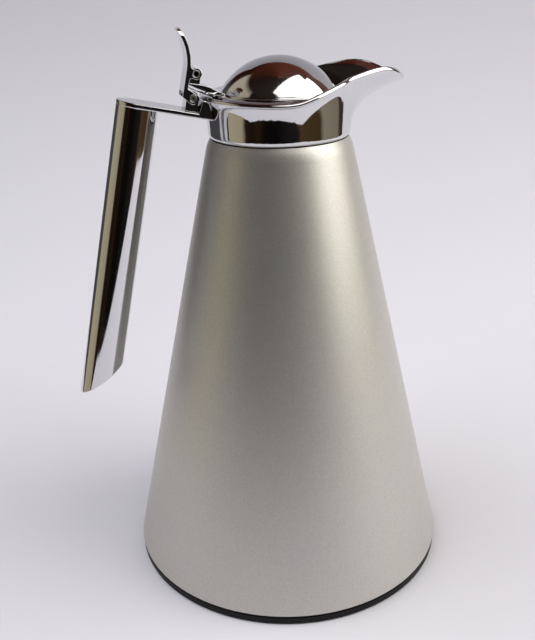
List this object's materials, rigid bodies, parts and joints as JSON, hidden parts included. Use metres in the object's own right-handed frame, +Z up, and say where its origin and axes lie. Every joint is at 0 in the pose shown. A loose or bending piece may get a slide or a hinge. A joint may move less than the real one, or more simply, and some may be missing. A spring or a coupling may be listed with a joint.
{
  "type": "vacuum carafe",
  "caption": "Cone-shaped vacuum carafe with a flared spout collar, a straight tube handle and a domed lid opened by a thumb lever.",
  "frame": {"origin": "on the floor under the middle of the cone", "axes": "+X along the spout, handle on -X, +Z up"},
  "size_m": [0.1888, 0.165, 0.2729],
  "materials": {
    "painted_cone": "satin metallic paint, warm silver",
    "chrome": "mirror polished",
    "base_plastic": "matt",
    "foot_rubber": "matt",
    "seal_rubber": "matt",
    "silvered_glass": "silvered between the walls",
    "plug_plastic": "satin",
    "pin_steel": "turned"
  },
  "bodies": {
    "jug": {"body_shell": "painted_cone", "base_plate": "base_plastic", "foot_ring": "foot_rubber", "base_cap": "base_plastic", "liner_cushion": "foot_rubber", "liner": "silvered_glass", "neck_seal": "seal_rubber", "neck_nut": "base_plastic", "collar_gasket": "seal_rubber", "collar": "chrome", "handle_plate": "chrome", "handle_tube": "chrome", "handle_cap": "base_plastic", "handle_rivet_left": "chrome", "handle_rivet_right": "chrome", "hinge_bracket": "chrome"},
    "lid": {"lid_ring": "chrome", "lid_dome": "chrome", "lid_plug": "plug_plastic", "lid_gasket": "seal_rubber", "lid_screw": "pin_steel", "thumb_lever": "chrome", "hinge_pin": "pin_steel", "lever_pin": "pin_steel"}
  },
  "joints": [
    {"name": "lid_hinge", "type": "hinge", "parent": "jug", "child": "lid", "pos_m": [-0.041, 0, 0.2428], "axis": [0, -1, 0], "range_deg": [0, 60]}
  ]
}
